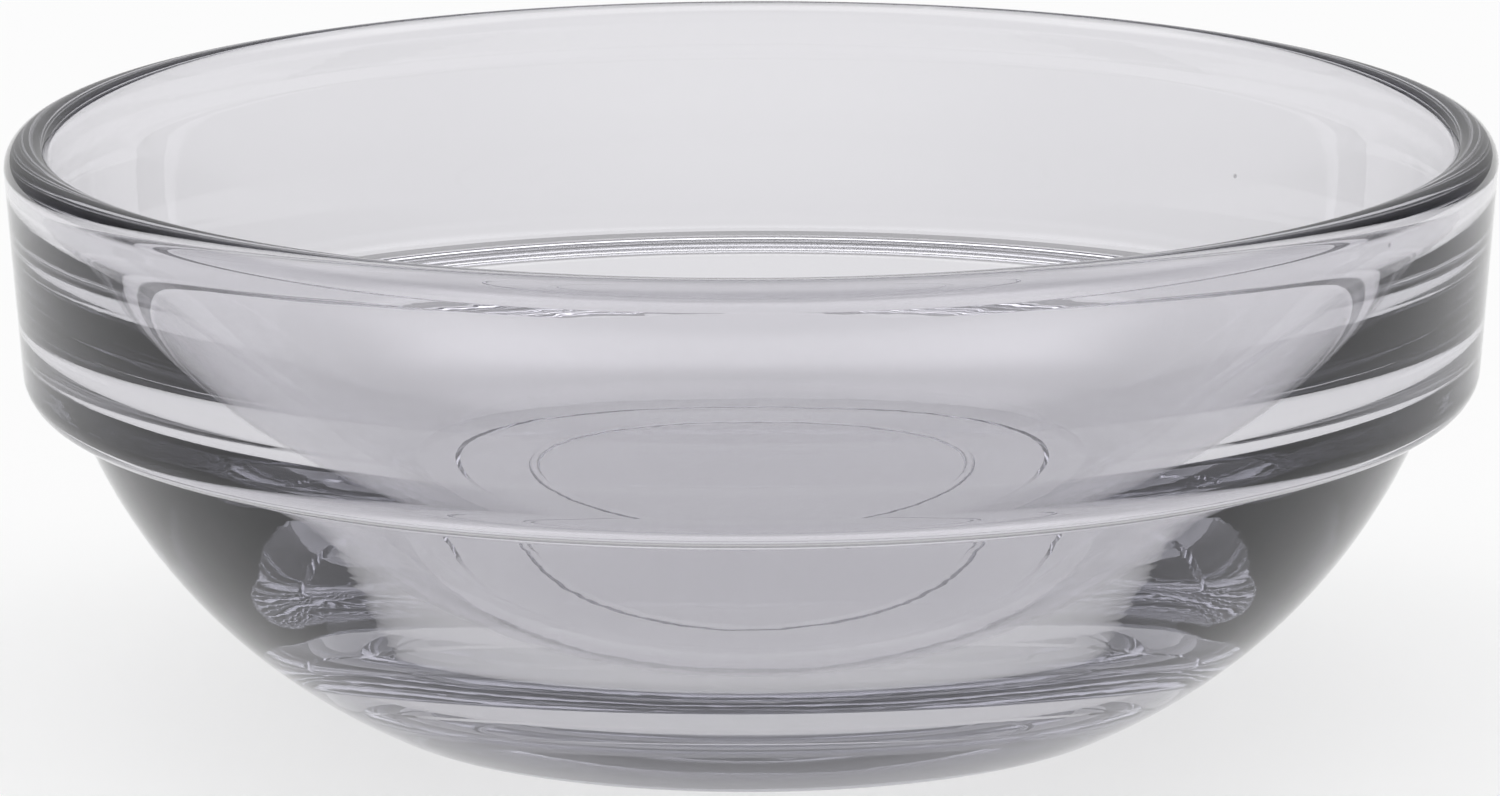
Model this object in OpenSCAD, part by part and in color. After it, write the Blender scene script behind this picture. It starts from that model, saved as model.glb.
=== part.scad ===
// Prep bowl: one pressing of clear toughened glass, made to stack.
// Millimetres, +Z up. The origin is the centre of the foot, on the surface that the bowl stands on.
// The whole bowl is one section turned about the Z axis: in the section, x is the radius and y the height.

/* [Rim] */
// Outside diameter at the rim
rim_d = 60; // [50:1:120]
// Height from the foot to the top of the lip
height = 23.4; // [21:0.1:60]
// Radius of the lip's outer edge
lip_outer_r = 1.05; // [0.8:0.01:2]
// Radius of the lip's inner edge
lip_inner_r = 0.77; // [0.5:0.01:1.4]

/* [Band] */
// Height of the shoulder's underside at its outer corner, where the band ends
shoulder_z = 12.68; // [10:0.01:15]
// How far the band draws in on the way down, on the radius
band_draft = 0.64; // [0:0.01:1.1]
// Radius of the band's lower corner
shoulder_r = 1.5; // [0.5:0.01:2]
// Slope of the shoulder's underside, down towards the body, in degrees
shoulder_slope = 0.5; // [0:0.5:12]
// Play on the radius between a bowl's body and the mouth of the bowl below it in a stack
stack_gap = 0.86; // [0.5:0.01:1.5]

/* [Body] */
// How far the side runs in from the shoulder to the foot, on the radius
side_run = 11.62; // [7:0.01:14]
// How far the side bulges beyond a straight line between its two ends
side_bulge = 1.66; // [0.6:0.01:2.4]
// Radius of the inner corner between the shoulder and the body, as far as the shoulder leaves room
seat_r = 0.5; // [0.1:0.01:1]

/* [Foot] */
// Radius of the foot's outer edge
foot_edge_r = 0.4; // [0.1:0.01:1]
// Width of the flat ring that the bowl stands on
foot_w = 2.2; // [1:0.05:4]
// Depth of the recess inside that ring
recess_depth = 0.15; // [0.05:0.01:0.5]
// Width of the slope round the recess
recess_slope_w = 0.3; // [0.05:0.01:1]
// How far the fine moulded ring lies inside the edge of the recess
ring_inset = 3.8; // [1.5:0.01:8]
// Width of that ring
ring_w = 0.5; // [0.2:0.01:1]
// How far that ring stands down from the recess
ring_h = 0.08; // [0.02:0.01:0.1]

/* [Inside] */
// Thickness of the glass in the middle of the base
base_t = 4.2; // [2.5:0.05:5]
// Radius of the sweep from the flat floor up into the side
heel_r = 10.6; // [8:0.1:20]
// Radius of the side of the inside
hollow_r = 25.5; // [24:0.1:60]
// Thickness of the side at the shoulder, measured level
side_t = 2.5; // [1:0.01:2.8]
// Height above the shoulder at which the curved side meets the straight mouth
mouth_rise = 8.62; // [5:0.01:9.2]
// Radius of the soft corner between the side and the mouth
mouth_blend_r = 4; // [0.5:0.1:6]

/* [Hidden] */
$fn = 180;
// Overrun of every cut past the surface that it opens
over = 1;

rim_r = rim_d / 2;
mouth_r = rim_r - lip_outer_r - lip_inner_r;

// A unit step at an angle from the x axis, and the same step turned a quarter to the right of a step
function step(angle) = [cos(angle), sin(angle)];
function right_of(v) = [v.y, -v.x];
function unit(v) = v / norm(v);

// Centre of the arc of radius r from p to q that bulges to the right of the line from p to q
function arc_centre(p, q, r) = (p + q) / 2 - right_of(unit(q - p)) * sqrt(r * r - (q - p) * (q - p) / 4);

// Radius of the arc over a chord of length c that bulges from it by b
function bulge_r(c, b) = (c * c / 4 + b * b) / (2 * b);

// Band: one straight line that touches the lip's round above and the shoulder's round below
lip_c = [rim_r - lip_outer_r, height - lip_outer_r];
lip_in_c = [lip_c.x, height - lip_inner_r];
shoulder_c = [rim_r - band_draft - shoulder_r, shoulder_z + shoulder_r];
band_v = lip_c - shoulder_c;
band_facing = step(atan2(band_v.y, band_v.x) - acos((shoulder_r - lip_outer_r) / norm(band_v)));
band_top = lip_c + lip_outer_r * band_facing;
band_foot = shoulder_c + shoulder_r * band_facing;

// Shoulder: its underside slopes down to the seat, the ring that lands in the mouth of the bowl below
shelf = step(shoulder_slope);
shelf_down = right_of(shelf);
shelf_end = shoulder_c + shoulder_r * shelf_down;
seat_radius = mouth_r - stack_gap;
shelf_l = (shelf_end.x - seat_radius) / shelf.x;
seat = shelf_end - shelf * shelf_l;

// Side: one arc from the foot to the seat
foot_r = seat_radius - side_run;
foot = [foot_r, 0];
side_r = bulge_r(norm(seat - foot), side_bulge);
side_c = arc_centre(foot, seat, side_r);

// Round on the foot's outer edge, which touches the flat foot and the side
edge_c = [side_c.x + sqrt(pow(side_r - foot_edge_r, 2) - pow(side_c.y - foot_edge_r, 2)), foot_edge_r];
edge_out = unit(edge_c - side_c);

// Fillet in the seat, which touches the shoulder's underside and the side from outside
seat_corner = acos(shelf * right_of(unit(seat - side_c)));
fillet_r = min(seat_r, shelf_l * tan(seat_corner / 2));
fillet_v = seat + fillet_r * shelf_down - side_c;
fillet_reach = pow(side_r + fillet_r, 2) - fillet_v * fillet_v;
fillet_run = -fillet_v * shelf + sqrt(pow(fillet_v * shelf, 2) + fillet_reach);
fillet_c = seat + fillet_r * shelf_down + fillet_run * shelf;
fillet_out = unit(fillet_c - side_c);

// Inside: the side's arc runs through the mouth's corner and the point that gives the wall its thickness
mouth_corner = [mouth_r, shoulder_z + mouth_rise];
side_inner = [seat_radius - side_t, seat.y];
hollow_c = arc_centre(side_inner, mouth_corner, hollow_r);

// The heel's arc touches the side's arc from inside, and the flat floor
heel_drop = hollow_c.y - base_t - heel_r;
floor_r = hollow_c.x + sqrt(pow(hollow_r - heel_r, 2) - pow(heel_drop, 2));
heel_c = [floor_r, base_t + heel_r];
heel_end = hollow_c + hollow_r * unit(heel_c - hollow_c);

// The mouth's blend touches the straight mouth and the side's arc from inside
blend_x = mouth_r - mouth_blend_r;
blend_c = [blend_x, hollow_c.y - sqrt(pow(hollow_r - mouth_blend_r, 2) - pow(blend_x - hollow_c.x, 2))];
blend_end = hollow_c + hollow_r * unit(blend_c - hollow_c);

// Foot: the recess and the ring in it
recess_r = foot_r - foot_w;
ring_r = recess_r - ring_inset;
ring_round_r = bulge_r(ring_w, ring_h);

module disc(centre, radius) {
    translate(centre)
        circle(radius);
}

// Bead, band and shoulder as one solid block, out to their true outline
module rim_block() {
    polygon([
        [0, seat.y],
        seat,
        shelf_end,
        band_foot,
        band_top,
        [lip_c.x, height],
        [0, height]
    ]);
    disc(shoulder_c, shoulder_r);
    disc(lip_c, lip_outer_r);
}

// Body below the shoulder as one solid block: a slice of the side's disc, and the core under it
module body_block() {
    intersection() {
        disc(side_c, side_r);
        square([rim_r, seat.y]);
    }
    square([foot_r, seat.y]);
}

// What the fillet in the seat adds: a patch between the two surfaces, less its own round
module seat_fillet() {
    difference() {
        polygon([
            fillet_c,
            fillet_c - (fillet_r + over) * shelf_down,
            seat - over * (shelf_down + shelf),
            fillet_c - (fillet_r + over) * fillet_out
        ]);
        disc(fillet_c, fillet_r);
    }
}

// What the round on the foot's edge takes away
module foot_edge_cut() {
    difference() {
        polygon([
            edge_c,
            [edge_c.x, -over],
            [foot_r + over, -over],
            edge_c + (foot_edge_r + over) * edge_out
        ]);
        disc(edge_c, foot_edge_r);
    }
}

// What the round on the lip's inner edge takes away
module lip_inner_cut() {
    difference() {
        translate([mouth_r - over, lip_in_c.y])
            square([lip_inner_r + over, lip_inner_r + over]);
        disc(lip_in_c, lip_inner_r);
    }
}

// The hollow of the bowl: flat floor, heel, curved side, soft corner and straight mouth
module hollow() {
    polygon([
        [0, base_t],
        [floor_r, base_t],
        heel_end,
        blend_end,
        [mouth_r, blend_c.y],
        [mouth_r, height + over],
        [0, height + over]
    ]);
    disc(heel_c, heel_r);
    disc(blend_c, mouth_blend_r);
    intersection() {
        disc(hollow_c, hollow_r);
        translate([0, heel_end.y])
            square([rim_r, blend_end.y - heel_end.y]);
    }
}

module recess() {
    polygon([
        [0, -over],
        [recess_r, -over],
        [recess_r, 0],
        [recess_r - recess_slope_w, recess_depth],
        [0, recess_depth]
    ]);
}

module section() {
    intersection() {
        square([rim_r, height]);
        union() {
            difference() {
                union() {
                    rim_block();
                    body_block();
                    seat_fillet();
                }
                foot_edge_cut();
                lip_inner_cut();
                hollow();
                recess();
            }
            disc([ring_r, recess_depth - ring_h + ring_round_r], ring_round_r);
        }
    }
}

module bowl() {
    color([0.86, 0.87, 0.90, 0.45])
        rotate_extrude()
            section();
}

bowl();
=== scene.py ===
"""Looks of the prep bowl: a finely turned glass body, a pale floor, soft studio light, the camera.

Everything is in metres, +Z up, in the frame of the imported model. The glass is one section turned
about the Z axis. A point of the section is (radius, height).
"""

import math

import bpy
import numpy as np
from mathutils import Matrix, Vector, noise


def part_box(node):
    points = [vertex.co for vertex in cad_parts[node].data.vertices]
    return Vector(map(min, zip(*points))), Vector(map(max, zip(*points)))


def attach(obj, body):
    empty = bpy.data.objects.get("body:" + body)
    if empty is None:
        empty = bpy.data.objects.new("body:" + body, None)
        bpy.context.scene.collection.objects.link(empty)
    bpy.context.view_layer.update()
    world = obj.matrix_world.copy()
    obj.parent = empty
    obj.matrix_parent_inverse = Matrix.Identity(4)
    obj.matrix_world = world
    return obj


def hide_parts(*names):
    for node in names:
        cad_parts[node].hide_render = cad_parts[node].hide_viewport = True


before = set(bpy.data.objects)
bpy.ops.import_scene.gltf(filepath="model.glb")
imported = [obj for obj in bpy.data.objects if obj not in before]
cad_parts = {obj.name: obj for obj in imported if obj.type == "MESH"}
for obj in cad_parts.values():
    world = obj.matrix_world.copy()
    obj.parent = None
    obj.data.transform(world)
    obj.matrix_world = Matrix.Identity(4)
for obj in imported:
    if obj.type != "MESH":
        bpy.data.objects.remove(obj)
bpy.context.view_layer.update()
_, node_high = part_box("bowl")

MM = 0.001

# Sizes of the bowl's section. The slope is in degrees.
RIM_R = node_high[0]
HEIGHT = node_high[2]
LIP_OUTER_R = 1.05 * MM
LIP_INNER_R = 0.77 * MM
SHOULDER_Z = 12.68 * MM
BAND_DRAFT = 0.64 * MM
SHOULDER_R = 1.5 * MM
SHOULDER_SLOPE = 0.5
STACK_GAP = 0.86 * MM
SIDE_RUN = 11.62 * MM
SIDE_BULGE = 1.66 * MM
SEAT_R = 0.5 * MM
FOOT_EDGE_R = 0.4 * MM
FOOT_W = 2.2 * MM
RECESS_DEPTH = 0.15 * MM
RECESS_SLOPE_W = 0.3 * MM
RING_INSET = 3.8 * MM
RING_W = 0.5 * MM
RING_H = 0.08 * MM
BASE_T = 4.2 * MM
HEEL_R = 10.6 * MM
HOLLOW_R = 25.5 * MM
SIDE_T = 2.5 * MM
MOUTH_RISE = 8.62 * MM
MOUTH_BLEND_R = 4.0 * MM

# How finely the section is turned and divided: steps round the bowl, longest step of an arc and its
# widest turn in degrees, longest step of a straight stretch, and the short step at both its ends
TURNS = 320
ARC_STEP = 0.35 * MM
ARC_TURN = 5.0
LINE_STEP = 0.9 * MM
GUARD = 0.02 * MM
# Points closer to each other than this count as one
SAME_POINT = GUARD / 4

# Pressed glass is never quite even: soft waves in its surface, their lengths and heights, and the
# height above the foot at which they are in full
WAVE_LONG = 11.0 * MM
WAVE_LONG_H = 0.004 * MM
WAVE_SHORT = 4.0 * MM
WAVE_SHORT_H = 0.0012 * MM
WAVE_FADE_Z = 0.6 * MM

# Brightness of the studio's arch of light, which runs from the left over the top to the right, and
# of the grey high up in front of it and behind it
ARCH = 2.7
ARCH_ENDS = 0.35
# Brightness low down behind the bowl, at its sides and on the lens's side
BEHIND = 0.55
SIDES = 0.05
FRONT = 0.7
# Parts of the studio meet softly, in spans of a unit direction's x, y or z: where the low part ends
# upwards, where its sides start and are fully dark, where the lens's side turns into the back, and
# where the arch starts to fade to the front and back and is gone
LOW_TOP = (0.5, 0.8)
SIDE_SPAN = (0.15, 0.92)
DEPTH_SPAN = (-0.5, 0.5)
ARCH_SPAN = (0.15, 0.55)

# How much the glass bends light, the tint of its skin, and what the glass itself takes up: one less
# its colour, times its density, for each metre
GLASS_IOR = 1.507
SKIN_TINT = (0.835, 0.827, 0.855)
GLASS_COLOUR = (0.79, 0.79, 0.808)
GLASS_DENSITY = 115.0
# Faint smears in the polish: their size, how thick a cloud shows as one, and their roughness
SMEAR = 12.0 * MM
SMEAR_DETAIL = 3.0
SMEAR_SPAN = (0.5, 0.75)
SMEAR_ROUGHNESS = 0.012
# Fine seeds and specks: the size of the cells that may hold one, their radius in cells, their tint
SEED_CELL = 5.5 * MM
SEED_R = (0.008, 0.028)
SEED_TINT = 0.4
# Chill marks of the mould: level wrinkles, how much finer they are upwards than round, their depth
CHILL = 2.5 * MM
CHILL_DETAIL = 2.0
CHILL_FLATNESS = 5.0
CHILL_H = 0.0009 * MM

# The floor's half width, and how far it lies below the foot, so that the two never share a surface
FLOOR_REACH = 3.0
FLOOR_DROP = 0.05 * MM
FLOOR_COLOUR = (0.92, 0.92, 0.92, 1)
FLOOR_ROUGHNESS = 0.8
# Brightness that the floor shows of its own, and the share that this has in what is seen of it, be
# it straight, through the glass or mirrored. The rest is the light that falls on it, with the
# bowl's shadow.
FLOOR_GLOW = 0.96
FLOOR_SHARE = 0.65

WHITE = (1, 1, 1, 1)

# Light crosses the glass many times on its way through the rim and the shoulder
GLASS_BOUNCES = 32
MIRROR_BOUNCES = 24


def step(angle):
    """A unit step at an angle in degrees from the radius axis."""
    return np.array([math.cos(math.radians(angle)), math.sin(math.radians(angle))])


def right_of(v):
    """The same step turned a quarter to the right."""
    return np.array([v[1], -v[0]])


def unit(v):
    """The same direction, one unit long."""
    return v / np.linalg.norm(v)


def angle_of(v):
    """Angle of a step in degrees from the radius axis."""
    return math.degrees(math.atan2(v[1], v[0]))


def arc_centre(p, q, r):
    """Centre of the arc of radius r from p to q that bulges to the right of the line p to q."""
    chord = q - p
    return (p + q) / 2 - right_of(unit(chord)) * math.sqrt(r * r - chord @ chord / 4)


def bulge_r(chord, bulge):
    """Radius of the arc over a chord that bulges from it by a given amount."""
    return (chord * chord / 4 + bulge * bulge) / (2 * bulge)


def arc(centre, start, end):
    """Points of the shorter arc from start to end about centre, with both ends."""
    radius = np.linalg.norm(start - centre)
    first = angle_of(start - centre)
    sweep = (angle_of(end - centre) - first + 180) % 360 - 180
    length = radius * math.radians(abs(sweep))
    count = max(math.ceil(length / ARC_STEP), math.ceil(abs(sweep) / ARC_TURN), 2)
    return [centre + radius * step(first + sweep * i / count) for i in range(count + 1)]


def line(start, end):
    """Points of a straight stretch, with one close to each end so that its shading stays flat."""
    length = np.linalg.norm(end - start)
    along = unit(end - start)
    count = max(math.ceil(length / LINE_STEP), 1)
    points = [start, start + GUARD * along]
    points += [start + (end - start) * i / count for i in range(1, count)]
    points += [end - GUARD * along, end]
    return points


def section():
    """The section from the middle of the underside, out and up, over the lip and down inside."""
    mouth_r = RIM_R - LIP_OUTER_R - LIP_INNER_R
    lip_c = np.array([RIM_R - LIP_OUTER_R, HEIGHT - LIP_OUTER_R])
    lip_in_c = np.array([lip_c[0], HEIGHT - LIP_INNER_R])
    lip_top = np.array([lip_c[0], HEIGHT])

    shoulder_c = np.array([RIM_R - BAND_DRAFT - SHOULDER_R, SHOULDER_Z + SHOULDER_R])
    band_v = lip_c - shoulder_c
    lean = math.degrees(math.acos((SHOULDER_R - LIP_OUTER_R) / np.linalg.norm(band_v)))
    band_facing = step(angle_of(band_v) - lean)
    band_top = lip_c + LIP_OUTER_R * band_facing
    band_foot = shoulder_c + SHOULDER_R * band_facing

    shelf = step(SHOULDER_SLOPE)
    shelf_down = right_of(shelf)
    shelf_end = shoulder_c + SHOULDER_R * shelf_down
    seat_radius = mouth_r - STACK_GAP
    seat = shelf_end - shelf * ((shelf_end[0] - seat_radius) / shelf[0])

    foot_r = seat_radius - SIDE_RUN
    foot = np.array([foot_r, 0.0])
    side_r = bulge_r(np.linalg.norm(seat - foot), SIDE_BULGE)
    side_c = arc_centre(foot, seat, side_r)
    edge_x = side_c[0] + math.sqrt((side_r - FOOT_EDGE_R) ** 2 - (side_c[1] - FOOT_EDGE_R) ** 2)
    edge_c = np.array([edge_x, FOOT_EDGE_R])
    edge_foot = np.array([edge_x, 0.0])
    edge_side = edge_c + FOOT_EDGE_R * unit(edge_c - side_c)

    seat_v = seat + SEAT_R * shelf_down - side_c
    seat_reach = (seat_v @ shelf) ** 2 - seat_v @ seat_v + (side_r + SEAT_R) ** 2
    seat_run = -seat_v @ shelf + math.sqrt(seat_reach)
    fillet_c = side_c + seat_v + seat_run * shelf
    fillet_shelf = fillet_c - SEAT_R * shelf_down
    fillet_side = fillet_c - SEAT_R * unit(fillet_c - side_c)

    mouth_corner = np.array([mouth_r, SHOULDER_Z + MOUTH_RISE])
    side_inner = np.array([seat_radius - SIDE_T, seat[1]])
    hollow_c = arc_centre(side_inner, mouth_corner, HOLLOW_R)
    heel_drop = hollow_c[1] - BASE_T - HEEL_R
    floor_r = hollow_c[0] + math.sqrt((HOLLOW_R - HEEL_R) ** 2 - heel_drop ** 2)
    heel_c = np.array([floor_r, BASE_T + HEEL_R])
    heel_end = hollow_c + HOLLOW_R * unit(heel_c - hollow_c)
    blend_x = mouth_r - MOUTH_BLEND_R
    blend_run = blend_x - hollow_c[0]
    blend_z = hollow_c[1] - math.sqrt((HOLLOW_R - MOUTH_BLEND_R) ** 2 - blend_run ** 2)
    blend_c = np.array([blend_x, blend_z])
    blend_end = hollow_c + HOLLOW_R * unit(blend_c - hollow_c)

    recess_r = foot_r - FOOT_W
    recess_in = np.array([recess_r - RECESS_SLOPE_W, RECESS_DEPTH])
    ring_r = recess_r - RING_INSET
    ring_c = np.array([ring_r, RECESS_DEPTH - RING_H + bulge_r(RING_W, RING_H)])
    ring_low = np.array([ring_r, RECESS_DEPTH - RING_H])
    ring_in = np.array([ring_r - RING_W / 2, RECESS_DEPTH])
    ring_out = np.array([ring_r + RING_W / 2, RECESS_DEPTH])

    stretches = [
        line(np.array([0.0, RECESS_DEPTH]), ring_in),
        arc(ring_c, ring_in, ring_low),
        arc(ring_c, ring_low, ring_out),
        line(ring_out, recess_in),
        line(recess_in, np.array([recess_r, 0.0])),
        line(np.array([recess_r, 0.0]), edge_foot),
        arc(edge_c, edge_foot, edge_side),
        arc(side_c, edge_side, fillet_side),
        arc(fillet_c, fillet_side, fillet_shelf),
        line(fillet_shelf, shelf_end),
        arc(shoulder_c, shelf_end, band_foot),
        line(band_foot, band_top),
        arc(lip_c, band_top, lip_top),
        arc(lip_in_c, lip_top, np.array([mouth_r, lip_in_c[1]])),
        line(np.array([mouth_r, lip_in_c[1]]), np.array([mouth_r, blend_z])),
        arc(blend_c, np.array([mouth_r, blend_z]), blend_end),
        arc(hollow_c, blend_end, heel_end),
        arc(heel_c, heel_end, np.array([floor_r, BASE_T])),
        line(np.array([floor_r, BASE_T]), np.array([0.0, BASE_T])),
    ]
    points = []
    for stretch in stretches:
        points += [p for p in stretch if not points or np.linalg.norm(p - points[-1]) > SAME_POINT]
    return points


def turned(name, points):
    """A closed mesh from a section that starts and ends on the axis."""
    verts = []
    rows = []
    for radius, height in points:
        if radius < GUARD:
            rows.append([len(verts)])
            verts.append((0.0, 0.0, height))
            continue
        rows.append(list(range(len(verts), len(verts) + TURNS)))
        for k in range(TURNS):
            angle = math.tau * k / TURNS
            verts.append((radius * math.cos(angle), radius * math.sin(angle), height))
    faces = []
    for low, high in zip(rows, rows[1:]):
        for k in range(TURNS):
            j = (k + 1) % TURNS
            if len(low) == 1:
                faces.append((low[0], high[j], high[k]))
            elif len(high) == 1:
                faces.append((low[k], low[j], high[0]))
            else:
                faces.append((low[k], low[j], high[j], high[k]))
    mesh = bpy.data.meshes.new(name)
    mesh.from_pydata(verts, [], faces)
    mesh.polygons.foreach_set("use_smooth", [True] * len(mesh.polygons))
    piece = bpy.data.objects.new(name, mesh)
    bpy.context.scene.collection.objects.link(piece)
    return piece


def waved(piece):
    """Sinks each point of the surface a few thousandths of a millimetre, in long soft waves."""
    mesh = piece.data
    normals = [v.normal.copy() for v in mesh.vertices]
    for vertex, normal in zip(mesh.vertices, normals):
        place = vertex.co
        sink = WAVE_LONG_H * (1 + noise.noise(place / WAVE_LONG))
        sink += WAVE_SHORT_H * (1 + noise.noise(place / WAVE_SHORT))
        fade = min(max(place.z / WAVE_FADE_Z, 0.0), 1.0)
        vertex.co = place - normal * sink * fade
    mesh.update()


def ramp(nodes, links, value, span, at_start, at_end):
    """A value that goes smoothly from at_start to at_end as its input crosses the span."""
    node = nodes.new("ShaderNodeMapRange")
    node.interpolation_type = "SMOOTHSTEP"
    links.new(value, node.inputs["Value"])
    node.inputs["From Min"].default_value = span[0]
    node.inputs["From Max"].default_value = span[1]
    node.inputs["To Min"].default_value = at_start
    node.inputs["To Max"].default_value = at_end
    return node.outputs["Result"]


def size_of(nodes, links, value):
    """A value without its sign."""
    node = nodes.new("ShaderNodeMath")
    node.operation = "ABSOLUTE"
    links.new(value, node.inputs[0])
    return node.outputs[0]


def combine(nodes, links, operation, first, second):
    """The result of a sum, product or comparison of two values."""
    node = nodes.new("ShaderNodeMath")
    node.operation = operation
    links.new(first, node.inputs[0])
    links.new(second, node.inputs[1])
    return node.outputs[0]


def scaled(nodes, links, size):
    """The place on the bowl, in steps of a size along each axis."""
    place = nodes.new("ShaderNodeTexCoord")
    mapping = nodes.new("ShaderNodeMapping")
    links.new(place.outputs["Object"], mapping.inputs["Vector"])
    mapping.inputs["Scale"].default_value = [1 / s for s in size]
    return mapping.outputs["Vector"]


def cloud(nodes, links, size, detail):
    """Soft random clouds of a size, from 0 to 1."""
    node = nodes.new("ShaderNodeTexNoise")
    links.new(scaled(nodes, links, size), node.inputs["Vector"])
    node.inputs["Scale"].default_value = 1.0
    node.inputs["Detail"].default_value = detail
    return node.outputs["Fac"]


def glass_material():
    """Pressed glass with a cool grey tint, smears in its polish, chill marks and fine seeds."""
    material = bpy.data.materials.new("clear_glass")
    material.use_nodes = True
    nodes = material.node_tree.nodes
    links = material.node_tree.links
    shader = nodes["Principled BSDF"]
    shader.inputs["Transmission Weight"].default_value = 1.0
    shader.inputs["IOR"].default_value = GLASS_IOR

    smear = cloud(nodes, links, (SMEAR, SMEAR, SMEAR), SMEAR_DETAIL)
    roughness = ramp(nodes, links, smear, SMEAR_SPAN, 0.0, SMEAR_ROUGHNESS)
    links.new(roughness, shader.inputs["Roughness"])

    cells = nodes.new("ShaderNodeTexVoronoi")
    cells.inputs["Scale"].default_value = 1.0
    links.new(scaled(nodes, links, (SEED_CELL, SEED_CELL, SEED_CELL)), cells.inputs["Vector"])
    seed = ramp(nodes, links, cells.outputs["Distance"], SEED_R, 1.0, 0.0)
    colour = nodes.new("ShaderNodeCombineColor")
    for channel, tint in zip(("Red", "Green", "Blue"), SKIN_TINT):
        level = ramp(nodes, links, seed, (0.0, 1.0), tint, tint * SEED_TINT)
        links.new(level, colour.inputs[channel])
    links.new(colour.outputs["Color"], shader.inputs["Base Color"])

    wrinkles = cloud(nodes, links, (CHILL, CHILL, CHILL / CHILL_FLATNESS), CHILL_DETAIL)
    chill = nodes.new("ShaderNodeBump")
    chill.inputs["Distance"].default_value = CHILL_H
    links.new(wrinkles, chill.inputs["Height"])
    links.new(chill.outputs["Normal"], shader.inputs["Normal"])

    absorb = nodes.new("ShaderNodeVolumeAbsorption")
    absorb.inputs["Color"].default_value = (*GLASS_COLOUR, 1)
    absorb.inputs["Density"].default_value = GLASS_DENSITY
    links.new(absorb.outputs["Volume"], nodes["Material Output"].inputs["Volume"])
    return material


def floor_material():
    """Matt pale floor. Part of what is seen of it, straight or in the glass, is an even tone."""
    material = bpy.data.materials.new("pale_floor")
    material.use_nodes = True
    nodes = material.node_tree.nodes
    links = material.node_tree.links
    shader = nodes["Principled BSDF"]
    shader.inputs["Base Color"].default_value = FLOOR_COLOUR
    shader.inputs["Roughness"].default_value = FLOOR_ROUGHNESS
    shader.inputs["Specular IOR Level"].default_value = 0.0
    glow = nodes.new("ShaderNodeEmission")
    glow.inputs["Color"].default_value = WHITE
    glow.inputs["Strength"].default_value = FLOOR_GLOW
    rays = nodes.new("ShaderNodeLightPath")
    seen = rays.outputs["Is Camera Ray"]
    for kind in ("Is Glossy Ray", "Is Transmission Ray"):
        seen = combine(nodes, links, "MAXIMUM", seen, rays.outputs[kind])
    share = ramp(nodes, links, seen, (0.0, 1.0), 0.0, FLOOR_SHARE)
    mix = nodes.new("ShaderNodeMixShader")
    links.new(share, mix.inputs["Fac"])
    links.new(shader.outputs["BSDF"], mix.inputs[1])
    links.new(glow.outputs["Emission"], mix.inputs[2])
    links.new(mix.outputs["Shader"], nodes["Material Output"].inputs["Surface"])
    return material


def make_floor():
    """A level square, a hair below the surface that the bowl stands on."""
    signs = ((-1, -1), (1, -1), (1, 1), (-1, 1))
    corners = [(x * FLOOR_REACH, y * FLOOR_REACH, -FLOOR_DROP) for x, y in signs]
    mesh = bpy.data.meshes.new("floor")
    mesh.from_pydata(corners, [], [(0, 1, 2, 3)])
    floor = bpy.data.objects.new("floor", mesh)
    bpy.context.scene.collection.objects.link(floor)
    mesh.materials.append(floor_material())


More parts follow.
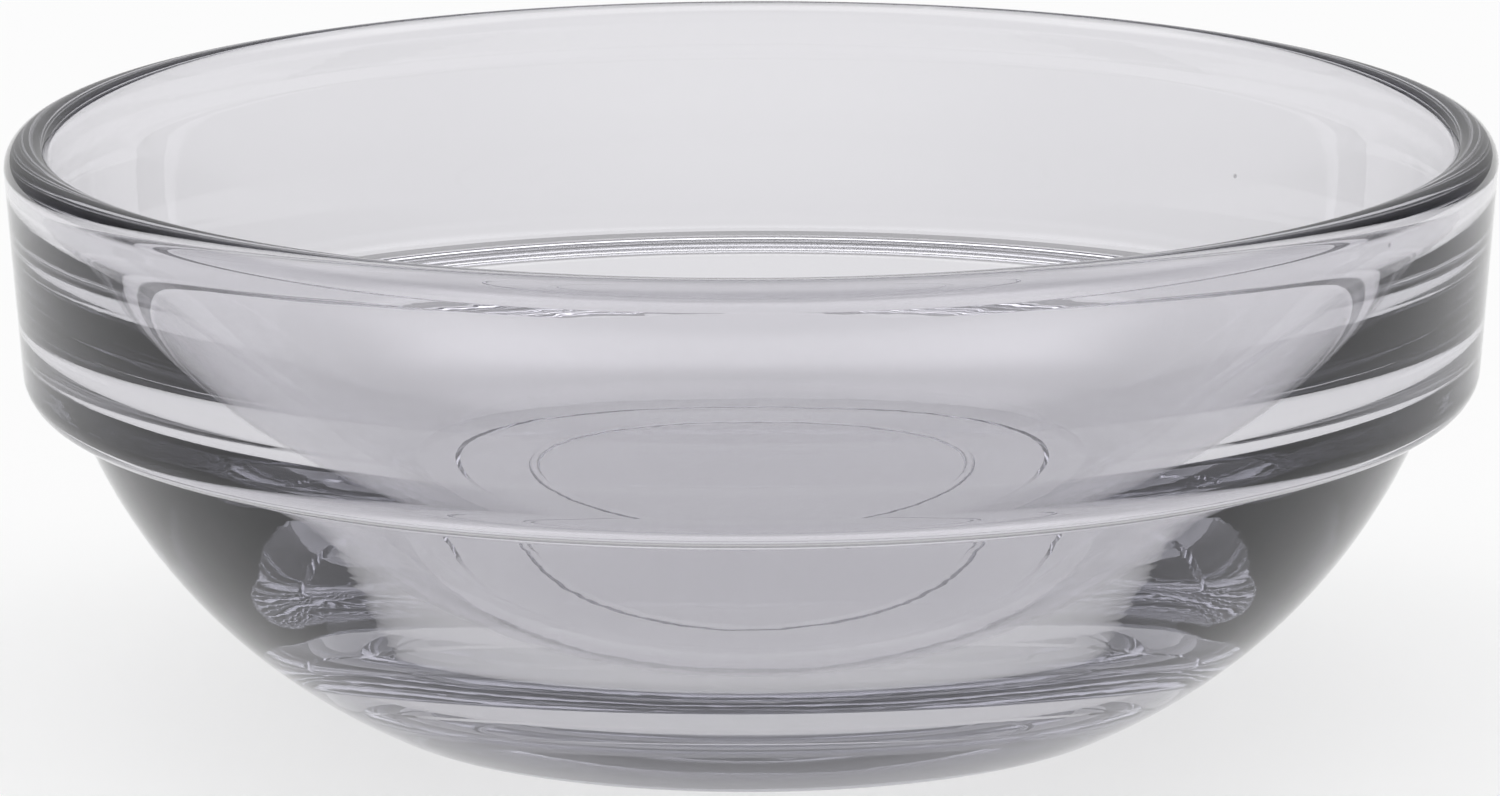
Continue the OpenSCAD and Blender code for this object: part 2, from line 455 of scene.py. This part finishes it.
def make_camera():
    """The photograph's view, fitted to the outline of the rim, band, shoulder and foot."""
    photo_w = 1500
    photo_scale = 24.78
    centre_px = 751.9
    distance = 500.0 * MM
    tilt = math.radians(12.26)
    roll = math.radians(-0.22)
    aim_z = 12.46 * MM
    sensor_w = 36
    nearest = 0.01
    farthest = 100
    camera = bpy.data.cameras.new("camera")
    camera.sensor_width = sensor_w
    camera.lens = sensor_w * photo_scale * distance / MM / photo_w
    camera.shift_x = (photo_w / 2 - centre_px) / photo_w
    camera.clip_start = nearest
    camera.clip_end = farthest
    holder = bpy.data.objects.new("camera", camera)
    holder.location = (0, -distance * math.cos(tilt), aim_z + distance * math.sin(tilt))
    turn = Matrix.Rotation(math.pi / 2 - tilt, 3, "X") @ Matrix.Rotation(roll, 3, "Z")
    holder.rotation_euler = turn.to_euler()
    bpy.context.scene.collection.objects.link(holder)
    bpy.context.scene.camera = holder


def make_light():
    """A soft studio: an arch of light overhead, grey in front and behind, dark low at the sides."""
    world = bpy.data.worlds.new("studio")
    bpy.context.scene.world = world
    world.use_nodes = True
    nodes = world.node_tree.nodes
    links = world.node_tree.links
    direction = nodes.new("ShaderNodeTexCoord")
    parts = nodes.new("ShaderNodeSeparateXYZ")
    links.new(direction.outputs["Generated"], parts.inputs[0])
    sideways = size_of(nodes, links, parts.outputs["X"])
    lengthways = size_of(nodes, links, parts.outputs["Y"])

    depth = ramp(nodes, links, parts.outputs["Y"], DEPTH_SPAN, FRONT, BEHIND)
    dimming = ramp(nodes, links, sideways, SIDE_SPAN, 1.0, 0.0)
    middle = combine(nodes, links, "MULTIPLY", depth, dimming)
    side = ramp(nodes, links, sideways, SIDE_SPAN, 0.0, SIDES)
    low_level = combine(nodes, links, "ADD", middle, side)
    low = ramp(nodes, links, parts.outputs["Z"], LOW_TOP, 1.0, 0.0)
    low_part = combine(nodes, links, "MULTIPLY", low_level, low)

    high_level = ramp(nodes, links, lengthways, ARCH_SPAN, ARCH, ARCH_ENDS)
    high = ramp(nodes, links, parts.outputs["Z"], LOW_TOP, 0.0, 1.0)
    high_part = combine(nodes, links, "MULTIPLY", high_level, high)

    level = combine(nodes, links, "ADD", low_part, high_part)
    nodes["Background"].inputs["Color"].default_value = WHITE
    links.new(level, nodes["Background"].inputs["Strength"])


cycles = bpy.context.scene.cycles
cycles.max_bounces = GLASS_BOUNCES
cycles.transmission_bounces = GLASS_BOUNCES
cycles.glossy_bounces = MIRROR_BOUNCES

make_camera()
make_light()
make_floor()

bowl = turned("bowl_glass", section())
waved(bowl)
bowl.data.materials.append(glass_material())
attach(bowl, "root")
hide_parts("bowl")

bpy.context.scene.view_settings.view_transform = "Standard"
